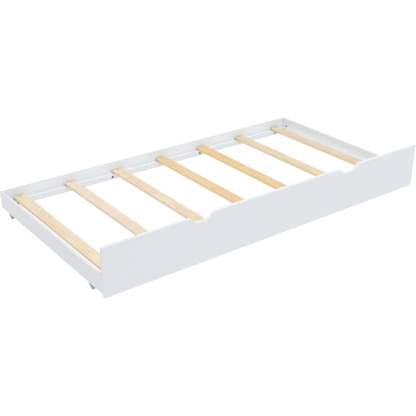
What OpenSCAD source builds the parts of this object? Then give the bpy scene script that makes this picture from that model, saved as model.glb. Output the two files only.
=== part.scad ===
// Trundle bed: a low wheeled frame with a tall front panel, seven slats and four rigid casters.
// Millimetres. +X runs along the bed, -Y is the front, +Z is up.
// The origin is on the floor, under the middle of the bed.

/* [Overall] */
// Length over the front panel
bed_length = 1950; // [1850:10:2100]
// Depth from the front face to the back face
bed_depth = 1060; // [980:10:1160]

/* [Front panel] */
// Height of the front panel
panel_h = 239; // [200:1:280]
// Thickness of the front panel
panel_t = 18; // [16:1:22]

/* [Hand notches] */
// Distance from the middle of the bed to the middle of each notch
notch_x = 462; // [300:1:600]
// Width of a notch at the panel's top edge
notch_w = 160; // [130:1:200]
// Depth of a notch
notch_depth = 30; // [20:1:36]
// Length of the straight bottom of a notch
notch_flat = 30; // [10:1:40]
// Radius of the scooped corners at the bottom of a notch
notch_r = 60; // [30:1:60]

/* [Rails] */
// Thickness of the side rails and the back rail
rail_t = 15; // [15:1:20]
// Height of the rails
rail_h = 89; // [80:1:110]
// Height of the rails' lower edges above the panel's lower edge
rail_lift = 13; // [0:1:15]

/* [Ledgers] */
// Depth of the two ledgers that carry the slats
ledger_w = 25; // [20:1:30]
// Height of the ledgers
ledger_h = 30; // [28:1:40]
// Height of the ledgers' lower faces above the rails' lower edges
ledger_lift = 2; // [0:1:6]

/* [Slats] */
// Number of slats
slat_count = 7; // [5:1:8]
// Width of a slat
slat_w = 63; // [50:1:80]
// Thickness of a slat
slat_t = 16; // [10:1:18]
// Distance from a side rail's inner face to the middle of the first slat
slat_margin = 80; // [60:1:120]
// Gap between a slat's end and the board behind it
slat_end_gap = 4; // [1:1:6]

/* [Casters] */
// Height of a caster, from the floor to the side rail that it is screwed to
caster_h = 26; // [25:1:32]
// Diameter of a wheel
wheel_d = 22; // [20:1:22]
// Width of a wheel's tread
wheel_w = 6.8; // [5.8:0.2:7.4]
// Distance from each end of a side rail to the nearest axle
axle_inset = 97; // [80:1:200]

/* [Hidden] */
$fn = 96;
// Play between a fixed pin or screw and its hole
fit = 0.05;
// Overshoot of a cut past the face that it starts from
over = 1;

// Frame faces, from the driving dimensions
half_l = bed_length / 2;
front_y = -bed_depth / 2;
back_y = bed_depth / 2;
panel_back_y = front_y + panel_t;
back_rail_y = back_y - rail_t;
rail_in_x = half_l - rail_t;
rail_z = caster_h;
rail_top_z = rail_z + rail_h;
panel_z = rail_z - rail_lift;
panel_top_z = panel_z + panel_h;
ledger_z = rail_z + ledger_lift;
slat_z = ledger_z + ledger_h;
slat_top_z = slat_z + slat_t;
ledger_gap = 2;
ledger_half = rail_in_x - ledger_gap;
slat_pitch = 2 * (rail_in_x - slat_margin) / (slat_count - 1);

// Notch flanks: two tangent arcs of equal angle, one scooped and one rounded over
notch_run = (notch_w - notch_flat) / 2;
notch_angle = 2 * atan(notch_depth / notch_run);
lip_r = notch_run / sin(notch_angle) - notch_r;
flank_x = notch_flat / 2 + notch_r * sin(notch_angle);
flank_z = notch_r * (1 - cos(notch_angle)) - notch_depth;

// Wood screws: shank radius, head radii, and lengths
screw_r = 2;
slat_head_r = 4;
ledger_head_r = 6;
screw_tip = 5;
slat_screw_len = 35;
ledger_screw_len = 35;
caster_screw_len = 18;
// Places of the ledgers' screws along the bed
ledger_screw_x = [-900, -550, -335, 270, 873];
ledger_screw_z = ledger_z + ledger_h / 2;
// Distance from the panel or the back rail to the nearest slat screws
slat_screw_inset = 17.5;
slat_screw_y = [panel_back_y + slat_screw_inset, back_rail_y - slat_screw_inset];
slat_screw_z = slat_top_z;

// Cam fittings and dowels that join the side rails to the panel and the back rail
cam_r = 6;
cam_depth = 10;
cam_inset = 34;
cam_z = rail_z + rail_h / 2;
cam_slot_w = 1.6;
cam_slot_depth = 2;
pocket_r = 3.6;
cam_bolt_r = 3;
cam_neck_r = 2;
cam_bolt_depth = 11;
cam_bolt_reach = cam_inset;
dowel_r = 4;
dowel_len = 30;
dowel_depth = 10;
dowel_offset = 28;
rail_mid_x = half_l - rail_t / 2;

// Casters: a wheel on a rivet, in a short inverted channel
wheel_r = wheel_d / 2;
hub_r = 4;
hub_w = wheel_w + 0.4;
web_w = 4.4;
rim_t = 3;
tread_round = 1;
axle_r = 2;
axle_play = 0.06;
axle_head_r = 3.2;
axle_head_t = 1.2;
channel_t = 1.4;
channel_gap = wheel_w + 0.6;
channel_w = channel_gap + 2 * channel_t;
channel_l = 60;
channel_bend_r = 2;
cheek_end_h = 3;
cheek_corner_r = 4.5;
cheek_corner_y = 10.5;
cheek_bottom_z = 7.2;
channel_hole_y = 21;
pan_shank_r = 1.6;
pan_head_r = 3.1;
pan_head_h = 1.8;
caster_x = rail_mid_x;
CORNERS = ["front_left", "front_right", "rear_left", "rear_right"];

// Which side of the bed a corner is on, and where its axle is
function corner_side(i) = i % 2 == 0 ? -1 : 1;
function corner_y(i) = i < 2 ? panel_back_y + axle_inset : back_rail_y - axle_inset;
function slat_x(i) = (i - (slat_count + 1) / 2) * slat_pitch;

// ---- Helpers ----

// A board from one corner to the opposite one
module board(low, high) {
    translate(low)
        cube(high - low);
}

// Extrudes a shape drawn in X and Z along Y
module along_y(y, length) {
    translate([0, y + length, 0])
        rotate([90, 0, 0])
            linear_extrude(length)
                children();
}

// Extrudes a shape drawn in Y and Z along X
module along_x(x, length) {
    translate([x, 0, 0])
        rotate([90, 0, 90])
            linear_extrude(length)
                children();
}

// A rectangle with rounded corners, centred
module round_rect(w, h, r) {
    square([w - 2 * r, h], center = true);
    square([w, h - 2 * r], center = true);
    for (x = [-1, 1], y = [-1, 1])
        translate([x * (w / 2 - r), y * (h / 2 - r)])
            circle(r);
}

// The cross-shaped recess that a screwdriver turns
module cross_recess(r, depth) {
    blade = r * 0.36;
    for (a = [0, 90])
        rotate(a)
            translate([-r, -blade / 2, -depth])
                cube([2 * r, blade, depth + over]);
}

// The space that a wood screw fills. Its head's top face is at the origin and it points down
module screw_space(length, head_r, play) {
    head_h = head_r - screw_r;
    translate([0, 0, -head_h])
        cylinder(h = head_h, r1 = screw_r + play, r2 = head_r + play);
    translate([0, 0, screw_tip - length])
        cylinder(h = length - head_h - screw_tip, r = screw_r + play);
    translate([0, 0, -length - play])
        cylinder(h = screw_tip + play, r1 = 0.3 + play, r2 = screw_r + play);
}

module wood_screw(length, head_r) {
    difference() {
        screw_space(length, head_r, 0);
        cross_recess(head_r * 0.62, 1.3);
    }
}

// The same space, opened a little so that the screw sits clear of the wood
module screw_hole(length, head_r) {
    screw_space(length, head_r, fit);
    cylinder(h = over, r = head_r + fit);
}

// A pan-headed screw. The head's underside is at the origin and it points up
module pan_screw(length) {
    cylinder(h = length - screw_tip, r = pan_shank_r);
    translate([0, 0, length - screw_tip])
        cylinder(h = screw_tip, r1 = pan_shank_r, r2 = 0.3);
    difference() {
        translate([0, 0, -pan_head_h])
            cylinder(h = pan_head_h, r1 = pan_head_r - 1, r2 = pan_head_r);
        mirror([0, 0, 1])
            translate([0, 0, pan_head_h])
                cross_recess(pan_head_r * 0.55, 1);
    }
}

// ---- Places of the fastenings ----

// Slat screws, in the slats and the ledgers
module at_slat_screws(i) {
    for (y = slat_screw_y)
        translate([slat_x(i), y, slat_screw_z])
            children();
}

// Screws that hold a ledger to the board behind it. way is 1 for the back ledger, -1 for the front
module at_ledger_screws(way) {
    face_y = way > 0 ? back_rail_y - ledger_w : panel_back_y + ledger_w;
    for (x = ledger_screw_x)
        translate([x, face_y, ledger_screw_z])
            rotate([way * 90, 0, 0])
                children();
}

// Screws that hold a caster to its side rail
module at_caster_screws(i) {
    for (dy = [-channel_hole_y, channel_hole_y])
        translate([corner_side(i) * caster_x, corner_y(i) + dy, rail_z])
            children();
}

// Joints at a side rail's two ends. Children point along +Z into the board that the rail meets,
// from the middle of the rail's end
module at_rail_ends(side) {
    translate([side * rail_mid_x, back_rail_y, cam_z])
        rotate([-90, 0, 0])
            children();
    translate([side * rail_mid_x, panel_back_y, cam_z])
        rotate([90, 0, 0])
            children();
}

// Dowels beside each cam bolt
module at_dowels(side) {
    at_rail_ends(side)
        for (dz = [-dowel_offset, dowel_offset])
            translate([0, dz, 0])
                children();
}

// Cam locks, in the inner faces of the side rails. Children point along +Z out of the face
module at_cams(side) {
    for (y = [panel_back_y + cam_inset, back_rail_y - cam_inset])
        translate([side * rail_in_x, y, cam_z])
            rotate([0, -side * 90, 0])
                children();
}

// ---- Holes ----

// Bores in a board that the side rails meet
module joint_bores_in_board(side) {
    at_rail_ends(side)
        translate([0, 0, -over])
            cylinder(h = cam_bolt_depth + fit + over, r = cam_bolt_r + fit);
    at_dowels(side)
        translate([0, 0, -over])
            cylinder(h = dowel_depth + fit + over, r = dowel_r + fit);
}

// Bores in the end of a side rail
module joint_bores_in_rail(side) {
    at_rail_ends(side)
        translate([0, 0, -cam_inset])
            cylinder(h = cam_inset + over, r = pocket_r);
    at_dowels(side)
        translate([0, 0, -(dowel_len - dowel_depth) - fit])
            cylinder(h = dowel_len - dowel_depth + fit + over, r = dowel_r + fit);
    at_cams(side)
        translate([0, 0, -cam_depth - fit])
            cylinder(h = cam_depth + fit + over, r = cam_r + fit);
}

// ---- Wooden parts ----

// The scooped outline of a hand notch, with its top on the X axis
module notch_outline() {
    difference() {
        union() {
            polygon([[-notch_w / 2, over], [notch_w / 2, over], [notch_w / 2, 0],
                     [flank_x, flank_z], [-flank_x, flank_z], [-notch_w / 2, 0]]);
            intersection() {
                union() {
                    for (s = [-1, 1])
                        translate([s * notch_flat / 2, notch_r - notch_depth])
                            circle(notch_r, $fn = 180);
                    translate([-notch_flat / 2, -notch_depth])
                        square([notch_flat, notch_depth]);
                }
                translate([-flank_x, -notch_depth])
                    square([2 * flank_x, flank_z + notch_depth]);
            }
        }
        for (s = [-1, 1])
            translate([s * notch_w / 2, -lip_r])
                circle(lip_r, $fn = 180);
    }
}

module front_panel() {
    color([0.90, 0.91, 0.92])
        difference() {
            board([-half_l, front_y, panel_z], [half_l, panel_back_y, panel_top_z]);
            for (s = [-1, 1])
                translate([s * notch_x, 0, panel_top_z])
                    along_y(front_y - over, panel_t + 2 * over)
                        notch_outline();
            for (s = [-1, 1])
                joint_bores_in_board(s);
            at_ledger_screws(-1)
                screw_hole(ledger_screw_len, ledger_head_r);
        }
}

module back_rail() {
    color([0.91, 0.92, 0.92])
        difference() {
            board([-half_l, back_rail_y, rail_z], [half_l, back_y, rail_top_z]);
            for (s = [-1, 1])
                joint_bores_in_board(s);
            at_ledger_screws(1)
                screw_hole(ledger_screw_len, ledger_head_r);
        }
}

// side is -1 for the left rail, 1 for the right one
module side_rail(side) {
    inner_x = side * rail_in_x;
    outer_x = side * half_l;
    color([0.89, 0.90, 0.91])
        difference() {
            board([min(inner_x, outer_x), panel_back_y, rail_z],
                  [max(inner_x, outer_x), back_rail_y, rail_top_z]);
            joint_bores_in_rail(side);
            for (i = [0 : 3])
                if (corner_side(i) == side)
                    at_caster_screws(i)
                        translate([0, 0, -over])
                            cylinder(h = caster_screw_len + fit + over, r = pan_shank_r + fit);
        }
}

module left_side_rail() {
    side_rail(-1);
}

module right_side_rail() {
    side_rail(1);
}

// way is 1 for the ledger on the back rail, -1 for the one on the front panel
module ledger(way) {
    outer_y = way > 0 ? back_rail_y : panel_back_y;
    inner_y = outer_y - way * ledger_w;
    color([0.92, 0.92, 0.92])
        difference() {
            board([-ledger_half, min(inner_y, outer_y), ledger_z],
                  [ledger_half, max(inner_y, outer_y), slat_z]);
            at_ledger_screws(way)
                screw_hole(ledger_screw_len, ledger_head_r);
            for (i = [1 : slat_count])
                at_slat_screws(i)
                    screw_hole(slat_screw_len, slat_head_r);
        }
}

module front_ledger() {
    ledger(-1);
}

module back_ledger() {
    ledger(1);
}

module slat(i) {
    color([0.93, 0.85, 0.72])
        difference() {
            board([slat_x(i) - slat_w / 2, panel_back_y + slat_end_gap, slat_z],
                  [slat_x(i) + slat_w / 2, back_rail_y - slat_end_gap, slat_top_z]);
            at_slat_screws(i)
                screw_hole(slat_screw_len, slat_head_r);
        }
}

// ---- Casters ----

// The channel's cross-section: a web with two cheeks, bent at the corners. It overshoots the cheeks' lower
// edges, which are cut by their outline
module channel_section() {
    depth = rail_z - cheek_bottom_z + over;
    difference() {
        translate([0, rail_z - depth / 2])
            bent_top(channel_w, depth, channel_bend_r);
        translate([0, rail_z - channel_t - depth / 2])
            bent_top(channel_gap, depth, channel_bend_r - channel_t);
    }
}

// A centred rectangle whose two upper corners are round
module bent_top(w, h, r) {
    translate([-w / 2, -h / 2])
        square([w, h - r]);
    translate([r - w / 2, -h / 2])
        square([w - 2 * r, h]);
    for (s = [-1, 1])
        translate([s * (w / 2 - r), h / 2 - r])
            circle(r);
}

// A cheek's outline seen along the axle: its sloping ends run down to two round corners.
// A slope touches a corner where a tangent from the slope's upper end meets it
module cheek_outline() {
    end_z = rail_z - cheek_end_h;
    corner_z = cheek_bottom_z + cheek_corner_r;
    run = channel_l / 2 - cheek_corner_y;
    rise = end_z - corner_z;
    touch = atan2(rise, run) - acos(cheek_corner_r / norm([run, rise]));
    steps = 10;
    corner = [for (i = [0 : steps]) let (a = touch - (touch + 90) * i / steps)
        [cheek_corner_y + cheek_corner_r * cos(a), corner_z + cheek_corner_r * sin(a)]];
    half = concat([[channel_l / 2, rail_z + over], [channel_l / 2, end_z]], corner);
    polygon(concat(half, [for (i = [len(half) - 1 : -1 : 0]) [-half[i][0], half[i][1]]]));
}

// Moves a part made on the caster's own axis to its corner
module at_corner(i) {
    translate([corner_side(i) * caster_x, corner_y(i), 0])
        children();
}

module caster_bracket(i) {
    color([0.72, 0.74, 0.76])
        at_corner(i)
            difference() {
                intersection() {
                    along_y(-channel_l / 2 - over, channel_l + 2 * over)
                        channel_section();
                    along_x(-channel_w / 2 - over, channel_w + 2 * over)
                        cheek_outline();
                }
                for (dy = [-channel_hole_y, channel_hole_y])
                    translate([0, dy, rail_z - channel_t - over])
                        cylinder(h = channel_t + 2 * over, r = pan_shank_r + fit);
                translate([-channel_w / 2 - over, 0, wheel_r])
                    rotate([0, 90, 0])
                        cylinder(h = channel_w + 2 * over, r = axle_r + fit / 2);
            }
}

// Half of the wheel's section, in radius and width, turned about the axle
module wheel_section() {
    tread_in = wheel_r - rim_t;
    difference() {
        union() {
            translate([hub_r / 2, 0])
                square([hub_r, hub_w], center = true);
            translate([tread_in / 2 + rim_t / 4, 0])
                square([tread_in + rim_t / 2, web_w], center = true);
            translate([(tread_in + wheel_r) / 2, 0])
                round_rect(rim_t, wheel_w, tread_round);
        }
        translate([(axle_r + axle_play) / 2 - over / 2, 0])
            square([axle_r + axle_play + over, hub_w + 2 * over], center = true);
    }
}

module caster_wheel(i) {
    color([0.10, 0.10, 0.11])
        at_corner(i)
            translate([0, 0, wheel_r])
                rotate([0, 90, 0])
                    rotate_extrude($fn = 180)
                        wheel_section();
}

module caster_axle(i) {
    span = channel_w + 2 * axle_head_t;
    color([0.66, 0.68, 0.70])
        at_corner(i)
            translate([0, 0, wheel_r])
                rotate([0, 90, 0]) {
                    cylinder(h = span, r = axle_r, center = true);
                    for (s = [-1, 1])
                        translate([0, 0, s * (channel_w + axle_head_t) / 2])
                            cylinder(h = axle_head_t, r = axle_head_r, center = true);
                }
}

// ---- Fastenings ----

module slat_screws() {
    color([0.35, 0.33, 0.30])
        for (i = [1 : slat_count])
            at_slat_screws(i)
                wood_screw(slat_screw_len, slat_head_r);
}

module ledger_screws() {
    color([0.12, 0.12, 0.12])
        for (way = [-1, 1])
            at_ledger_screws(way)
                wood_screw(ledger_screw_len, ledger_head_r);
}

module caster_screws() {
    color([0.75, 0.76, 0.78])
        for (i = [0 : 3])
            at_caster_screws(i)
                translate([0, 0, -channel_t])
                    pan_screw(caster_screw_len + channel_t);
}

// A cam: a short drum with a crossed slot on its face and a pocket for the bolt's head
module cam_locks() {
    pocket_z = rail_t / 2;
    color([0.45, 0.44, 0.42])
        for (side = [-1, 1])
            difference() {
                at_cams(side)
                    difference() {
                        translate([0, 0, -cam_depth])
                            cylinder(h = cam_depth, r = cam_r);
                        for (a = [45, -45])
                            rotate(a)
                                translate([-cam_r, -cam_slot_w / 2, -cam_slot_depth])
                                    cube([2 * cam_r, cam_slot_w, cam_slot_depth + over]);
                    }
                at_rail_ends(side)
                    translate([0, 0, -cam_inset - pocket_r])
                        cylinder(h = cam_inset, r = pocket_r - fit);
            }
}

// A cam bolt: a threaded root in the board, a plain shaft and a necked head inside the cam
module cam_bolts() {
    head_l = 3;
    neck_l = 4;
    shaft_l = cam_bolt_reach - head_l - neck_l;
    color([0.78, 0.78, 0.76])
        for (side = [-1, 1])
            at_rail_ends(side) {
                translate([0, 0, -shaft_l])
                    cylinder(h = shaft_l + cam_bolt_depth, r = cam_bolt_r);
                translate([0, 0, -cam_bolt_reach])
                    cylinder(h = cam_bolt_reach, r = cam_neck_r);
                translate([0, 0, -cam_bolt_reach])
                    cylinder(h = head_l, r = cam_bolt_r);
            }
}

module dowels() {
    color([0.85, 0.75, 0.58])
        for (side = [-1, 1])
            at_dowels(side)
                translate([0, 0, dowel_depth - dowel_len])
                    cylinder(h = dowel_len, r = dowel_r);
}

front_panel();
back_rail();
left_side_rail();
right_side_rail();
front_ledger();
back_ledger();
for (i = [1 : slat_count])
    slat(i);
for (i = [0 : 3]) {
    caster_bracket(i);
    caster_wheel(i);
    caster_axle(i);
}
slat_screws();
ledger_screws();
caster_screws();
cam_locks();
cam_bolts();
dowels();
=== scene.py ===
"""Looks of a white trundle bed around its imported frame: painted boards, pine slats, zinc and black wheels."""

import math

import bmesh
import bpy
from mathutils import Euler, Matrix, Vector


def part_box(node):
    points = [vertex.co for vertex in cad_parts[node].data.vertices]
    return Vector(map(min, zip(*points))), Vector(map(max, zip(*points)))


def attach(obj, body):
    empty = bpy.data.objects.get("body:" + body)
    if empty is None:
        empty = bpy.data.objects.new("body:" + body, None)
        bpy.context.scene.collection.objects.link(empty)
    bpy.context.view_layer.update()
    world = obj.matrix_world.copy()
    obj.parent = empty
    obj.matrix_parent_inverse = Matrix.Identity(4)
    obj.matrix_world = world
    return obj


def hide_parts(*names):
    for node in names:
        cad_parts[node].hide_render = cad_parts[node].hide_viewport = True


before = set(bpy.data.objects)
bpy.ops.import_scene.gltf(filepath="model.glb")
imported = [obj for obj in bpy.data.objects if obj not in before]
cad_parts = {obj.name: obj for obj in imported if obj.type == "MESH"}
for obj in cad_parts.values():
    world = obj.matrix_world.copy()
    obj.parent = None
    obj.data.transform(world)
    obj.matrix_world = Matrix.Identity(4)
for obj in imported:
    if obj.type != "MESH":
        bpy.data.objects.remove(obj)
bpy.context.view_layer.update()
MM = 0.001
AXES = {"X": 0, "Y": 1, "Z": 2}


# ---------------------------------------------------------------- shader graphs


class Graph:
    """A material's node tree, with one short call for each kind of node."""

    def __init__(self, name):
        self.material = bpy.data.materials.new(name)
        self.material.use_nodes = True
        self.nodes = self.material.node_tree.nodes
        self.links = self.material.node_tree.links
        self.shader = self.nodes["Principled BSDF"]
        self.coords = self.node("ShaderNodeTexCoord").outputs["Object"]

    def node(self, kind, inputs=None, **settings):
        made = self.nodes.new(kind)
        for key, value in settings.items():
            setattr(made, key, value)
        for key, value in (inputs or {}).items():
            self.feed(made.inputs[key], value)
        return made

    def feed(self, socket, value):
        if isinstance(value, bpy.types.NodeSocket):
            self.links.new(value, socket)
        else:
            socket.default_value = value

    def surface(self, colour, roughness, normal=None, specular=0.5, metallic=0.0):
        """Feeds the main shader and returns the finished material."""
        self.feed(self.shader.inputs["Base Color"], colour)
        self.feed(self.shader.inputs["Roughness"], roughness)
        self.feed(self.shader.inputs["Specular IOR Level"], specular)
        self.feed(self.shader.inputs["Metallic"], metallic)
        if normal:
            self.feed(self.shader.inputs["Normal"], normal)
        return self.material

    def math(self, operation, a, b=0.0, clamp=False):
        return self.node("ShaderNodeMath", {0: a, 1: b}, operation=operation, use_clamp=clamp).outputs[0]

    def vector(self, operation, a, b=(0, 0, 0)):
        return self.node("ShaderNodeVectorMath", {0: a, 1: b}, operation=operation).outputs["Vector"]

    def split(self, vector):
        return self.node("ShaderNodeSeparateXYZ", {0: vector}).outputs

    def join(self, x, y, z):
        return self.node("ShaderNodeCombineXYZ", {0: x, 1: y, 2: z}).outputs[0]

    def noise(self, vector, scale=1.0, detail=2.0, roughness=0.5, colour=False):
        made = self.node("ShaderNodeTexNoise",
                         {"Vector": vector, "Scale": scale, "Detail": detail, "Roughness": roughness})
        return made.outputs["Color" if colour else "Fac"]

    def range(self, value, low, high, to_low=0.0, to_high=1.0):
        return self.node("ShaderNodeMapRange",
                         {"Value": value, "From Min": low, "From Max": high,
                          "To Min": to_low, "To Max": to_high},
                         interpolation_type="SMOOTHSTEP").outputs["Result"]

    def mix(self, factor, a, b, blend="MIX"):
        made = self.node("ShaderNodeMix", data_type="RGBA", blend_type=blend)
        for name, value in (("Factor_Float", factor), ("A_Color", a), ("B_Color", b)):
            socket = next(s for s in made.inputs if s.identifier == name)
            self.feed(socket, value if isinstance(value, (bpy.types.NodeSocket, float)) else (*value, 1.0))
        return next(s for s in made.outputs if s.identifier == "Result_Color")

    def ramp(self, factor, stops):
        made = self.node("ShaderNodeValToRGB", {"Fac": factor})
        ramp = made.color_ramp
        for place, shade in stops[1:-1]:
            ramp.elements.new(place).color = (shade, shade, shade, 1)
        for element, (place, shade) in zip((ramp.elements[0], ramp.elements[-1]), (stops[0], stops[-1])):
            element.position = place
            element.color = (shade, shade, shade, 1)
        return made.outputs["Color"]

    def bump(self, height, strength, distance, normal=None):
        inputs = {"Height": height, "Strength": strength, "Distance": distance}
        if normal:
            inputs["Normal"] = normal
        return self.node("ShaderNodeBump", inputs).outputs["Normal"]


def stretched(axis, along, across):
    """Scales that draw a texture out along one axis."""
    return tuple(along if i == AXES[axis] else across for i in range(3))


def shade(colour, *factors):
    return tuple(c * f for c, f in zip(colour, factors))


def edge_mask(g, low, high, width):
    """1 on the arrises of a box, falling to 0 a short way onto its faces."""
    centre, half = (low + high) / 2, (high - low) / 2
    inner = Vector([max(h - width, 0.0) for h in half])
    reach = g.vector("ABSOLUTE", g.vector("SUBTRACT", g.coords, tuple(centre)))
    reach = g.vector("DIVIDE", g.vector("SUBTRACT", reach, tuple(inner)), (width,) * 3)
    x, y, z = g.split(g.vector("MAXIMUM", reach))
    pairs = [g.math("MULTIPLY", x, y), g.math("MULTIPLY", y, z), g.math("MULTIPLY", z, x)]
    return g.math("ADD", g.math("ADD", pairs[0], pairs[1]), pairs[2], clamp=True)


# ---------------------------------------------------------------- materials

WHITE = (0.80, 0.830, 0.865)
WHITE_WARM = (0.81, 0.828, 0.846)
UNDERCOAT = (0.74, 0.71, 0.66)


def painted_board(name, low, high, grain, painted_light=1.0, painted_top_shade=1.0):
    """Satin white paint, sprayed on a solid board: faint grain under it, and thinner on the arrises.

    painted_light scales the whole board's colour, painted light or shade standing in for the light the board
    gets, and painted_top_shade darkens its upward faces as painted shade."""
    g = Graph(name)
    fibres = g.noise(g.vector("MULTIPLY", g.coords, stretched(grain, 2.2, 190)), detail=4, roughness=0.6)
    boards = g.noise(g.vector("MULTIPLY", g.coords, stretched(grain, 0.5, 9)), detail=2)
    spray = g.noise(g.coords, scale=620, detail=2)
    clouds = g.noise(g.coords, scale=5, detail=3)
    patchy = g.range(g.noise(g.coords, scale=60, detail=3), 0.35, 0.7)
    arris = g.math("MULTIPLY", edge_mask(g, low, high, 2.2 * MM), patchy)
    # Painted light: both whites are scaled by painted_light, lighter or darker for the light the board gets.
    cool, warm = shade(WHITE, *[painted_light] * 3), shade(WHITE_WARM, *[painted_light] * 3)
    colour = g.mix(g.range(clouds, 0.3, 0.7), cool, warm)
    # Painted shade: faces pointing up are darkened by painted_top_shade.
    if painted_top_shade != 1.0:
        top_shade_mask = g.range(g.split(g.node("ShaderNodeTexCoord").outputs["Normal"])[2], 0.35, 0.95)
        colour = g.mix(top_shade_mask, colour, g.mix(1.0, colour, (painted_top_shade,) * 3, "MULTIPLY"))
    colour = g.mix(g.range(fibres, 0.55, 0.8, 0.0, 0.10), colour, UNDERCOAT)
    colour = g.mix(g.math("MULTIPLY", arris, 0.22), colour, UNDERCOAT)
    rough = g.math("ADD", g.range(clouds, 0.25, 0.75, 0.36, 0.46), g.range(spray, 0.3, 0.7, -0.03, 0.04))
    normal = g.bump(fibres, 0.35, 0.12 * MM)
    normal = g.bump(boards, 0.30, 0.5 * MM, normal)
    normal = g.bump(spray, 0.25, 0.06 * MM, normal)
    return g.surface(colour, rough, normal, specular=0.45)


KNOT = (0.44, 0.25, 0.13)
SIDE_SHEEN_WOOD = (0.83, 0.735, 0.59)
ARRIS_HIGHLIGHT = (0.88, 0.78, 0.62)
RING_WIDTH = 5.2 * MM
END_TONE_LENGTH = 75 * MM


def pine(name, low, high, seed, tone, pith, tilt, knots=()):
    """Planed pine cut from a log whose pith runs nearly along Y, under the board.

    Growth rings are shells round the pith, so a tilt of the pith draws cathedrals on the wide faces.
    tone is the colour of the pale early wood. pith is the pith's place under the board's middle, in metres,
    and tilt is its slope along the board, both across and in depth. knots are (across, along) places in
    metres from the board's middle."""
    g = Graph(name)
    centre = (low + high) / 2
    local = g.vector("SUBTRACT", g.coords, tuple(centre))
    seeded = g.vector("ADD", local, (seed * 1.7, seed * 2.9, seed * 0.7))
    x, y, z = g.split(local)

    wander = g.split(g.noise(g.vector("MULTIPLY", seeded, (9, 1.6, 9)), detail=2, colour=True))
    x = g.math("ADD", x, g.math("MULTIPLY", g.math("SUBTRACT", wander[0], 0.5), 0.05))
    z = g.math("ADD", z, g.math("MULTIPLY", g.math("SUBTRACT", wander[1], 0.5), 0.05))
    across = g.math("ADD", g.math("ADD", x, pith[0]), g.math("MULTIPLY", y, tilt[0]))
    depth = g.math("ADD", g.math("ADD", z, pith[1]), g.math("MULTIPLY", y, tilt[1]))
    radius = g.math("SQRT", g.math("ADD", g.math("POWER", across, 2.0), g.math("POWER", depth, 2.0)))

    knot_mask = None
    for kx, ky in knots:
        place = (centre[0] + kx, centre[1] + ky, 0.0)
        gap = g.vector("MULTIPLY", g.vector("SUBTRACT", g.coords, place), (1.0, 0.62, 0.0))
        away = g.node("ShaderNodeVectorMath", {0: gap}, operation="LENGTH").outputs["Value"]
        radius = g.math("ADD", radius, g.range(away, 0.0, 0.030, 0.016, 0.0))
        spot = g.range(away, 0.0030, 0.0058, 1.0, 0.0)
        knot_mask = spot if knot_mask is None else g.math("MAXIMUM", knot_mask, spot)

    ring = g.math("FRACT", g.math("DIVIDE", radius, RING_WIDTH))
    late = g.ramp(ring, [(0.0, 0.10), (0.08, 0.0), (0.45, 0.12), (0.78, 0.62), (0.93, 1.0), (1.0, 0.10)])
    fibres = g.noise(g.vector("MULTIPLY", seeded, (620, 9, 620)), detail=4, roughness=0.65)
    flecks = g.noise(g.vector("MULTIPLY", seeded, (900, 55, 900)), detail=1)
    clouds = g.noise(g.vector("MULTIPLY", seeded, (14, 3.0, 14)), detail=3)

    late_tone = shade(tone, 0.76, 0.60, 0.42)
    pale_tone, deep_tone = shade(tone, 1.015, 1.02, 1.03), shade(tone, 0.985, 0.92, 0.87)
    colour = g.mix(g.range(clouds, 0.36, 0.68), pale_tone, deep_tone)
    colour = g.mix(g.math("MULTIPLY", late, 0.36), colour, late_tone)
    colour = g.mix(g.range(fibres, 0.45, 0.85, 0.0, 0.22), colour, late_tone)
    colour = g.mix(g.range(flecks, 0.68, 0.80, 0.0, 0.30), colour, late_tone)
    # Painted sheen: faces that point sideways are mixed toward a paler tone than the top.
    facing = g.node("ShaderNodeTexCoord").outputs["Normal"]
    side = g.math("SUBTRACT", 1.0, g.math("ABSOLUTE", g.split(facing)[2]), clamp=True)
    colour = g.mix(g.math("MULTIPLY", side, 0.55), colour, SIDE_SHEEN_WOOD)
    half_length = (high.y - low.y) / 2
    along = g.math("ABSOLUTE", g.split(local)[1])
    ends = g.range(along, half_length - END_TONE_LENGTH, half_length, 0.0, 0.30)
    colour = g.mix(ends, colour, shade(tone, 0.97, 0.84, 0.66))
    if knot_mask is not None:
        colour = g.mix(g.math("MULTIPLY", knot_mask, 0.45), colour, KNOT)
    # Painted highlight: the arrises are mixed toward a lighter tone.
    arris = edge_mask(g, low, high, 3.0 * MM)
    colour = g.mix(g.math("MULTIPLY", arris, 0.12), colour, ARRIS_HIGHLIGHT)

    rough = g.math("ADD", g.range(fibres, 0.3, 0.8, 0.50, 0.66), g.math("MULTIPLY", late, -0.08))
    normal = g.bump(late, 0.25, 0.10 * MM)
    normal = g.bump(fibres, 0.40, 0.14 * MM, normal)
    return g.surface(colour, rough, normal, specular=0.35)


def zinc(name, tint, gloss):
    """Bright zinc plate: soft grey patches, fine scratches and a little dulling."""
    g = Graph(name)
    cells = g.node("ShaderNodeTexVoronoi", {"Vector": g.coords, "Scale": 260.0}, feature="F1")
    patches = cells.outputs["Distance"]
    clouds = g.noise(g.coords, scale=90, detail=4)
    scratches = g.noise(g.vector("MULTIPLY", g.coords, (900, 60, 900)), detail=2)
    dull = tuple(c * 0.72 for c in tint)
    colour = g.mix(g.range(clouds, 0.3, 0.75), tint, dull)
    colour = g.mix(g.range(patches, 0.0, 0.6, 0.0, 0.25), colour, dull)
    dulling = g.range(clouds, 0.3, 0.7, gloss, gloss + 0.16)
    rough = g.math("ADD", dulling, g.range(scratches, 0.4, 0.7, 0.0, 0.06))
    normal = g.bump(scratches, 0.2, 0.03 * MM)
    return g.surface(colour, rough, normal, metallic=0.9)


def black_plastic(name):
    """Moulded black nylon: fine grain, and a grey film of dust in patches."""
    g = Graph(name)
    grain = g.noise(g.coords, scale=1400, detail=2)
    clouds = g.noise(g.coords, scale=120, detail=4)
    colour = g.mix(g.range(clouds, 0.4, 0.75), (0.012, 0.012, 0.013), (0.028, 0.027, 0.026))
    rough = g.range(clouds, 0.3, 0.75, 0.42, 0.62)
    return g.surface(colour, rough, g.bump(grain, 0.25, 0.05 * MM))


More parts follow.
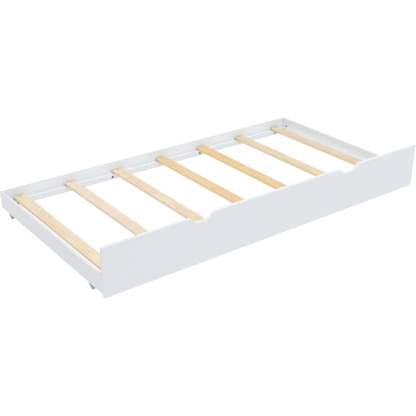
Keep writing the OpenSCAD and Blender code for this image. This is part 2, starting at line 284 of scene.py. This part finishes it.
def screw_metal(name, tint, worn, gloss):
    """Plated screw heads: the plating is rubbed where a driver has turned them."""
    g = Graph(name)
    rubbed = g.noise(g.coords, scale=900, detail=3)
    clouds = g.noise(g.coords, scale=250, detail=2)
    colour = g.mix(g.range(rubbed, 0.5, 0.75, 0.0, 0.7), tint, worn)
    rough = g.range(clouds, 0.3, 0.7, gloss, gloss + 0.2)
    return g.surface(colour, rough, g.bump(rubbed, 0.2, 0.04 * MM), metallic=0.75)


def beech(name):
    """Fluted beech of the dowels: pale, with short dark rays."""
    g = Graph(name)
    rays = g.noise(g.vector("MULTIPLY", g.coords, (1500, 160, 1500)), detail=2)
    clouds = g.noise(g.coords, scale=70, detail=2)
    colour = g.mix(g.range(clouds, 0.3, 0.7), (0.66, 0.47, 0.28), (0.73, 0.55, 0.35))
    colour = g.mix(g.range(rays, 0.6, 0.75, 0.0, 0.5), colour, (0.42, 0.25, 0.12))
    return g.surface(colour, g.range(rays, 0.3, 0.8, 0.5, 0.65), g.bump(rays, 0.3, 0.08 * MM))


def give(obj, material):
    """Puts one material on every face of an object."""
    if not obj.data.materials:
        obj.data.materials.append(material)
    for i in range(len(obj.data.materials)):
        obj.data.materials[i] = material


# ---------------------------------------------------------------- geometry


def islands(node):
    """The box of each separate solid in a CAD node, as (lowest corner, highest corner)."""
    bm = bmesh.new()
    bm.from_mesh(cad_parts[node].data)
    bmesh.ops.remove_doubles(bm, verts=bm.verts, dist=0.002 * MM)
    left, found = set(bm.verts), []
    while left:
        stack, points = [left.pop()], []
        while stack:
            v = stack.pop()
            points.append(v.co.copy())
            for e in v.link_edges:
                other = e.other_vert(v)
                if other in left:
                    left.discard(other)
                    stack.append(other)
        found.append((Vector(map(min, *points)), Vector(map(max, *points))))
    bm.free()
    return sorted(found, key=lambda b: tuple(round(c, 4) for c in b[0]))


def prism(outline, axis, start, end):
    """Extrudes an outline along an axis. Its two coordinates are the other axes, in X, Y, Z order."""
    bm = bmesh.new()
    others = [i for i in range(3) if i != AXES[axis]]

    def point(a, b, c):
        p = [0.0, 0.0, 0.0]
        p[others[0]], p[others[1]], p[AXES[axis]] = a, b, c
        return bm.verts.new(p)

    rims = [[point(a, b, c) for a, b in outline] for c in (start, end)]
    bm.faces.new(rims[0])
    bm.faces.new(rims[1])
    count = len(outline)
    for i in range(count):
        j = (i + 1) % count
        bm.faces.new((rims[0][i], rims[0][j], rims[1][j], rims[1][i]))
    bmesh.ops.recalc_face_normals(bm, faces=bm.faces)
    return bm


def ease(bm, radius, segments=3, sharp=math.radians(30)):
    """Rounds every arris sharper than an angle."""
    edges = [e for e in bm.edges if len(e.link_faces) == 2 and e.calc_face_angle() > sharp]
    bmesh.ops.bevel(bm, geom=edges, offset=radius, offset_type="OFFSET", segments=segments,
                    profile=0.5, affect="EDGES", clamp_overlap=True)


def add_object(name, bm):
    mesh = bpy.data.meshes.new(name)
    bm.to_mesh(mesh)
    bm.free()
    obj = bpy.data.objects.new(name, mesh)
    bpy.context.scene.collection.objects.link(obj)
    return obj


def drill(obj, cutters):
    """Cuts round holes. Each cutter is (mouth on the surface, direction, [(depth, radius), ...])."""
    bm = bmesh.new()
    sides = 40
    turns = [math.tau * i / sides for i in range(sides)]
    for mouth, direction, profile in cutters:
        place = Matrix.Translation(mouth) @ direction.to_track_quat("Z", "Y").to_matrix().to_4x4()
        rings = [[bm.verts.new(place @ Vector((r * math.cos(t), r * math.sin(t), d))) for t in turns]
                 for d, r in profile]
        bm.faces.new(rings[0][::-1])
        bm.faces.new(rings[-1])
        for a, b in zip(rings, rings[1:]):
            for i in range(sides):
                j = (i + 1) % sides
                bm.faces.new((a[i], a[j], b[j], b[i]))
    bmesh.ops.recalc_face_normals(bm, faces=bm.faces)
    cutter = add_object("drill", bm)
    cut = obj.modifiers.new("drill", "BOOLEAN")
    cut.operation, cut.solver, cut.object = "DIFFERENCE", "EXACT", cutter
    cut_mesh = bpy.data.meshes.new_from_object(obj.evaluated_get(bpy.context.evaluated_depsgraph_get()))
    obj.modifiers.clear()
    obj.data, old = cut_mesh, obj.data
    cut_mesh.name = old.name
    bpy.data.meshes.remove(old)
    bpy.data.objects.remove(cutter)


def smooth(obj, angle=math.radians(34)):
    """Shades round stretches smooth, and keeps flats flat up to their rounded arrises."""
    obj.data.polygons.foreach_set("use_smooth", [True] * len(obj.data.polygons))
    obj.data.set_sharp_from_angle(angle=angle)
    weighted = obj.modifiers.new("flats", "WEIGHTED_NORMAL")
    weighted.keep_sharp = True
    weighted.weight = 100


def countersink(screw_low, screw_high, direction):
    """The hole that a screw's head sits in, from the screw's box and the way the screw points."""
    axis = max(range(3), key=lambda i: abs(direction[i]))
    centre = (screw_low + screw_high) / 2
    length = screw_high[axis] - screw_low[axis]
    head_r = (screw_high[(axis + 1) % 3] - screw_low[(axis + 1) % 3]) / 2
    mouth = centre.copy()
    mouth[axis] = screw_low[axis] if direction[axis] > 0 else screw_high[axis]
    rim, shank = head_r + 0.25 * MM, head_r / 2 + 0.1 * MM
    cone_end = head_r / 2 + 0.3 * MM
    profile = [(-MM, rim + 0.2 * MM), (0, rim), (cone_end, shank), (length + MM, shank)]
    return mouth, direction, profile


def box_outline(low, high, axis):
    a, b = [i for i in range(3) if i != AXES[axis]]
    return [(low[a], low[b]), (high[a], low[b]), (high[a], high[b]), (low[a], high[b])]


def finish_board(node, bm, material, arris, cutters=()):
    """Turns a prism into the piece that stands for a CAD board."""
    ease(bm, arris)
    board = add_object("board_" + node, bm)
    if cutters:
        drill(board, cutters)
    smooth(board)
    give(board, material)
    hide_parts(node)
    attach(board, "frame")


def wooden_box(node, material, axis, arris, cutters=()):
    low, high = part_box(node)
    bm = prism(box_outline(low, high, axis), axis, low[AXES[axis]], high[AXES[axis]])
    finish_board(node, bm, material, arris, cutters)


def inside(box, low, high, margin=2 * MM):
    """True if a screw's box lies over a board's, in all three axes."""
    return all(box[0][i] < high[i] + margin and box[1][i] > low[i] - margin for i in range(3))


# ---------------------------------------------------------------- boards

PANEL_ARRIS = 1.2 * MM
RAIL_ARRIS = 1.0 * MM
SLAT_ARRIS = 1.6 * MM
CAM_CLEARANCE = 0.3 * MM

# Hand notches in the panel, as in the design: two tangent arcs on each flank
NOTCH_X, NOTCH_W, NOTCH_DEPTH, NOTCH_FLAT, NOTCH_R = 0.462, 0.160, 0.030, 0.030, 0.060


def notch_half():
    """One flank of a notch from its bottom's middle out to its lip, as (distance, height from the top)."""
    run = (NOTCH_W - NOTCH_FLAT) / 2
    angle = 2 * math.atan(NOTCH_DEPTH / run)
    lip_r = run / math.sin(angle) - NOTCH_R
    steps = 12
    turns = [angle * i / steps for i in range(steps + 1)]
    scoop = [(NOTCH_FLAT / 2 + NOTCH_R * math.sin(t), NOTCH_R * (1 - math.cos(t)) - NOTCH_DEPTH)
             for t in turns]
    lip = [(NOTCH_W / 2 - lip_r * math.sin(t), lip_r * (math.cos(t) - 1)) for t in turns[::-1]]
    return scoop + lip[1:]


def panel_outline(low, high):
    """The front panel in X and Z, anticlockwise from its lower left corner."""
    points = [(low.x, low.z), (high.x, low.z), (high.x, high.z)]
    for middle in (NOTCH_X, -NOTCH_X):
        flank = notch_half()
        points += [(middle + a, high.z + b) for a, b in flank[::-1]]
        points += [(middle - a, high.z + b) for a, b in flank]
    points.append((low.x, high.z))
    return points


def make_panel():
    low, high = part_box("front_panel")
    bm = prism(panel_outline(low, high), "Y", low.y, high.y)
    # Painted light: the panel's paint is lightened a little.
    paint = painted_board("paint_front_panel", low, high, "X", 1.015)
    finish_board("front_panel", bm, paint, PANEL_ARRIS)


def make_back_rail():
    low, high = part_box("back_rail")
    # Painted light and shade: the back rail is lightened against the shade inside the frame, and its top face
    # darkened.
    paint = painted_board("paint_back_rail", low, high, "X", 1.08, 0.87)
    wooden_box("back_rail", paint, "X", RAIL_ARRIS)


def make_side_rail(node, side, painted_light, painted_top_shade):
    """A side rail with its cam holes. side is 1 for the right-hand rail and -1 for the left-hand one."""
    low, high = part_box(node)
    cutters = []
    for cam_low, cam_high in islands("cam_locks"):
        middle = (cam_low + cam_high) / 2
        if middle.x * side < 0:
            continue
        mouth = Vector((low.x if side > 0 else high.x, middle.y, middle.z))
        radius = (cam_high.y - cam_low.y) / 2 + CAM_CLEARANCE
        depth = cam_high.x - cam_low.x + CAM_CLEARANCE
        cutters.append((mouth, Vector((side, 0, 0)), [(-MM, radius), (0, radius), (depth, radius)]))
    paint = painted_board("paint_" + node, low, high, "Y", painted_light, painted_top_shade)
    wooden_box(node, paint, "Y", RAIL_ARRIS, cutters)


def make_ledger(node, way):
    """A batten with its countersunk screw holes. way is 1 if the screws point to +Y, and -1 if to -Y."""
    low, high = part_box(node)
    screws = [s for s in islands("ledger_screws") if (s[0].y > 0) == (way > 0)]
    cutters = [countersink(*s, Vector((0, way, 0))) for s in screws]
    # Painted shade: the ledgers' paint is darkened a little.
    paint = painted_board("paint_" + node, low, high, "X", 0.96)
    wooden_box(node, paint, "X", RAIL_ARRIS, cutters)


# Each slat's own wood, from left to right, as pine() takes it
SLAT_WOODS = [
    dict(tone=(0.88, 0.775, 0.60), knots=((0.016, 0.19),), pith=(0.012, 0.052), tilt=(0.012, 0.020)),
    dict(tone=(0.875, 0.77, 0.65), pith=(-0.030, 0.075), tilt=(-0.010, -0.026)),
    dict(tone=(0.865, 0.735, 0.56), knots=((-0.014, 0.12),), pith=(0.006, 0.046), tilt=(0.016, 0.024)),
    dict(tone=(0.85, 0.65, 0.39), pith=(0.024, 0.060), tilt=(-0.014, 0.030)),
    dict(tone=(0.85, 0.62, 0.33), knots=((0.011, 0.33),), pith=(-0.008, 0.048), tilt=(0.010, -0.022)),
    dict(tone=(0.825, 0.695, 0.49), pith=(0.018, 0.066), tilt=(0.018, 0.018)),
    dict(tone=(0.79, 0.66, 0.49), pith=(-0.020, 0.055), tilt=(-0.012, 0.028)),
]


def make_slats():
    screws = islands("slat_screws")
    for number, wood in enumerate(SLAT_WOODS, start=1):
        node = "slat_%d" % number
        low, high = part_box(node)
        cutters = [countersink(*s, Vector((0, 0, -1))) for s in screws if inside(s, low, high)]
        material = pine("pine_" + node, low, high, number, **wood)
        wooden_box(node, material, "Y", SLAT_ARRIS, cutters)


# ---------------------------------------------------------------- metal and wheels


CORNERS = ("front_left", "front_right", "rear_left", "rear_right")


def dress_casters():
    """Gives the CAD nodes of the four casters their finishes."""
    bracket = zinc("zinc_bracket", (0.40, 0.45, 0.48), 0.34)
    rivet = zinc("zinc_rivet", (0.50, 0.53, 0.56), 0.28)
    wheel = black_plastic("black_wheel")
    for corner in CORNERS:
        give(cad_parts["caster_bracket_" + corner], bracket)
        give(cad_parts["caster_axle_" + corner], rivet)
        give(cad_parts["caster_wheel_" + corner], wheel)


def dress_fittings():
    """Gives the CAD nodes of the screws, cams, bolts and dowels their finishes."""
    finishes = {
        "slat_screws": screw_metal("screw_yellow_zinc", (0.34, 0.27, 0.18), (0.50, 0.46, 0.38), 0.34),
        "ledger_screws": screw_metal("screw_black", (0.016, 0.016, 0.017), (0.06, 0.06, 0.06), 0.40),
        "caster_screws": zinc("zinc_caster_screws", (0.52, 0.55, 0.57), 0.28),
        "cam_locks": zinc("cam_die_cast", (0.34, 0.33, 0.32), 0.42),
        "cam_bolts": zinc("zinc_cam_bolts", (0.60, 0.61, 0.60), 0.30),
        "dowels": beech("beech_dowels"),
    }
    for node, material in finishes.items():
        give(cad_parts[node], material)


# ---------------------------------------------------------------- stage, light and camera


FLOOR_HALF_WIDTH = 40
FLOOR_GLOW = 0.95
WORLD_STRENGTH = 0.62
LIGHT_WIDTH, LIGHT_POWER, LIGHT_PLACE = 3.0, 130, (0.6, -1.0, 5.0)
CAMERA_LENS, CAMERA_PLACE = 65.45, (-2.243, -2.921, 1.735)
CAMERA_YAW, CAMERA_PITCH, CAMERA_ROLL = (math.radians(a) for a in (37.052, 25.92, 0.24))


def make_floor():
    """A pale floor that glows a little, so that the bed stands on plain white with a faint shadow."""
    bm = bmesh.new()
    bmesh.ops.create_grid(bm, x_segments=8, y_segments=8, size=FLOOR_HALF_WIDTH)
    floor = add_object("floor", bm)
    g = Graph("pale_floor")
    clouds = g.noise(g.coords, scale=0.7, detail=3)
    colour = g.mix(g.range(clouds, 0.3, 0.7), (0.11, 0.11, 0.11), (0.13, 0.13, 0.13))
    give(floor, g.surface(colour, g.range(clouds, 0.3, 0.7, 0.85, 0.95), specular=0.0))
    g.shader.inputs["Emission Color"].default_value = (1, 1, 1, 1)
    g.shader.inputs["Emission Strength"].default_value = FLOOR_GLOW


def make_light():
    """One broad soft light overhead, aimed at the middle of the bed."""
    data = bpy.data.lights.new("overhead", "AREA")
    data.shape, data.size, data.energy = "DISK", LIGHT_WIDTH, LIGHT_POWER
    light = bpy.data.objects.new("overhead", data)
    light.location = LIGHT_PLACE
    light.rotation_mode = "QUATERNION"
    light.rotation_quaternion = (-Vector(LIGHT_PLACE)).to_track_quat("-Z", "Y")
    bpy.context.scene.collection.objects.link(light)


def make_world():
    world = bpy.data.worlds.new("studio")
    world.use_nodes = True
    background = world.node_tree.nodes["Background"]
    background.inputs["Color"].default_value = (0.98, 0.99, 1.0, 1)
    background.inputs["Strength"].default_value = WORLD_STRENGTH
    bpy.context.scene.world = world


def make_camera():
    data = bpy.data.cameras.new("camera")
    data.sensor_width = 36
    data.lens = CAMERA_LENS
    camera = bpy.data.objects.new("camera", data)
    aim = Euler((math.pi / 2 - CAMERA_PITCH, 0, -CAMERA_YAW)).to_matrix()
    turn = aim @ Matrix.Rotation(CAMERA_ROLL, 3, "Z")
    camera.matrix_world = Matrix.Translation(CAMERA_PLACE) @ turn.to_4x4()
    bpy.context.scene.collection.objects.link(camera)
    bpy.context.scene.camera = camera


make_panel()
make_back_rail()
make_side_rail("left_side_rail", -1, 1.0, 1.0)
# Painted light and shade: the right rail is lightened against the shade inside the frame, and its top face
# darkened.
make_side_rail("right_side_rail", 1, 1.12, 0.81)
make_ledger("front_ledger", -1)
make_ledger("back_ledger", 1)
make_slats()
dress_casters()
dress_fittings()
make_floor()
make_world()
make_light()
make_camera()
bpy.context.scene.view_settings.view_transform = "Standard"
